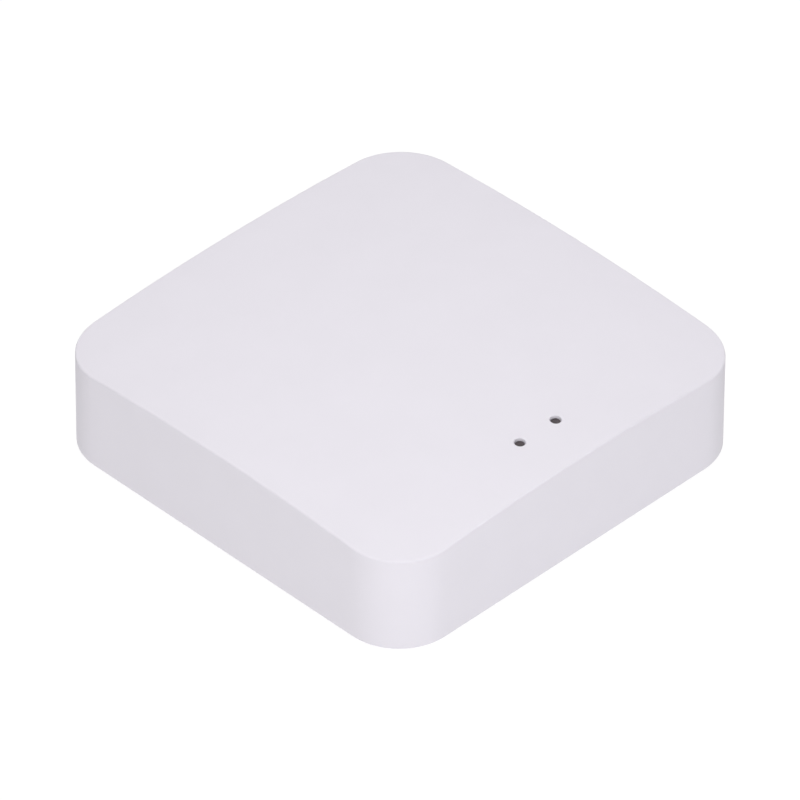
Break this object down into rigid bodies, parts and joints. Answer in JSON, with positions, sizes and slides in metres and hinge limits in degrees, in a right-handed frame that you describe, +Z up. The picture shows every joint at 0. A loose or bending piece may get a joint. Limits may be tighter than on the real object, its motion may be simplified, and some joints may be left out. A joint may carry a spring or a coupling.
{
  "type": "smart home hub",
  "caption": "Square white smart home hub with a softly domed top, two status lights, and Ethernet and power sockets with a reset button at the rear.",
  "frame": {"origin": "on the standing surface, under the middle of the square case", "axes": "+Z up, -Y towards the edge with the two status lights, +Y towards the rear wall with the sockets and the reset button, +X to the right when the lights face the viewer"},
  "size_m": [0.09, 0.09, 0.0243],
  "materials": {
    "case_plastic": "fine matte moulded white",
    "button_plastic": "smooth matte white",
    "foot_rubber": "matte dark grey",
    "label_film": "satin silver-grey film, blank",
    "light_guide": "smoky clear moulding",
    "board_laminate": "green solder mask",
    "module_laminate": "blue solder mask",
    "screw_steel": "zinc plated",
    "led_body": "cream moulding",
    "sheet_metal": "nickel-plated sheet",
    "tin_lead": "tinned",
    "contact_gold": "gold flash",
    "socket_plastic": "black glass-filled moulding",
    "chip_epoxy": "matte black moulding compound",
    "ferrite": "dull grey ferrite",
    "can_aluminium": "bright aluminium",
    "ceramic": "tan fired ceramic",
    "resistor": "black glaze"
  },
  "bodies": {
    "case": {"top_cover": "case_plastic", "bottom_cover": "case_plastic", "rubber_feet": "foot_rubber", "rating_label": "label_film", "light_guide": "light_guide", "circuit_board": "board_laminate", "board_screws": "screw_steel", "led_left": "led_body", "led_right": "led_body", "switch_body": "socket_plastic", "switch_cover": "sheet_metal", "switch_dome": "sheet_metal", "switch_leads": "tin_lead", "ethernet_jack_housing": "socket_plastic", "ethernet_jack_shield": "sheet_metal", "ethernet_jack_contacts": "contact_gold", "ethernet_transformer": "chip_epoxy", "ethernet_transformer_leads": "tin_lead", "usb_socket_shell": "sheet_metal", "usb_socket_tongue": "socket_plastic", "usb_socket_contacts": "contact_gold", "processor": "chip_epoxy", "memory_chip": "chip_epoxy", "memory_chip_leads": "tin_lead", "flash_chip": "chip_epoxy", "flash_chip_leads": "tin_lead", "clock_crystal": "sheet_metal", "radio_board": "module_laminate", "radio_shield": "sheet_metal", "radio_antenna": "contact_gold", "radio_chip": "chip_epoxy", "radio_crystal": "sheet_metal", "voltage_regulator": "chip_epoxy", "regulator_leads": "tin_lead", "power_inductor": "ferrite", "capacitor_cans": "can_aluminium", "capacitor_bases": "socket_plastic", "surge_diode": "chip_epoxy", "ceramic_capacitors": "ceramic", "chip_resistors": "resistor"},
    "reset_button": {"reset_button_cap": "button_plastic", "switch_plunger": "socket_plastic"}
  },
  "joints": [
    {"name": "reset_button_press", "type": "slide", "parent": "case", "child": "reset_button", "axis": [0, -1, 0], "range_m": [0, 0.00025], "stiffness_N_per_m": 6400}
  ]
}
